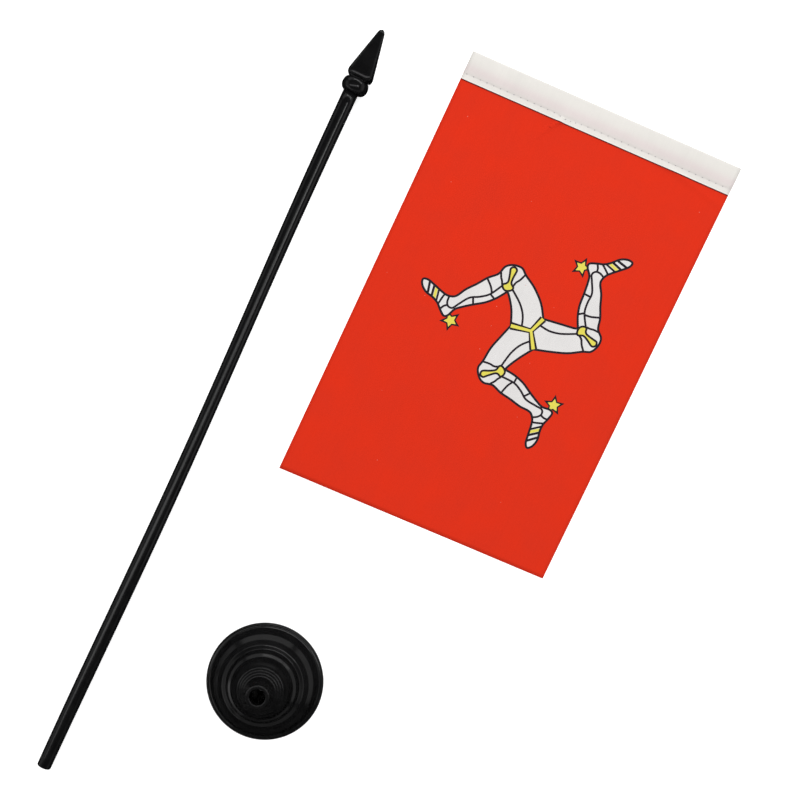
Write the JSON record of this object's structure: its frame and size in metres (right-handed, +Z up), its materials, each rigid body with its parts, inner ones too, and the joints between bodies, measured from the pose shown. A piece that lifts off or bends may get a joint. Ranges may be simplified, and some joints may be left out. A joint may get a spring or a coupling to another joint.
{
  "type": "desk flag stand",
  "caption": "Desk flag stand laid out in pieces: a stepped round base with a pole socket, a straight pole with a spear finial, and a printed cloth flag with a pole sleeve.",
  "frame": {"origin": "on the table, under the middle of the box that holds all the pieces as they lie", "axes": "+Y along the lying pole from its foot to the tip of its spear, +X from the pole towards the flag, +Z up from the table"},
  "size_m": [0.2102, 0.4406, 0.05],
  "materials": {
    "black_plastic": "semi-gloss moulded black plastic",
    "printed_cloth": "printed plain-weave polyester, satin",
    "white_thread": "white polyester sewing thread"
  },
  "bodies": {
    "base": {"base": "black_plastic"},
    "pole": {"pole_rod": "black_plastic", "spear_finial": "black_plastic"},
    "flag": {"flag_cloth": "printed_cloth", "hem_thread": "white_thread"}
  },
  "joints": [
    {"name": "pole_lift", "type": "slide", "parent": "base", "child": "pole", "axis": [0, 0, 1], "range_m": [0, 0.1]},
    {"name": "flag_lift", "type": "slide", "parent": "base", "child": "flag", "axis": [0, 0, 1], "range_m": [0, 0.1]}
  ]
}
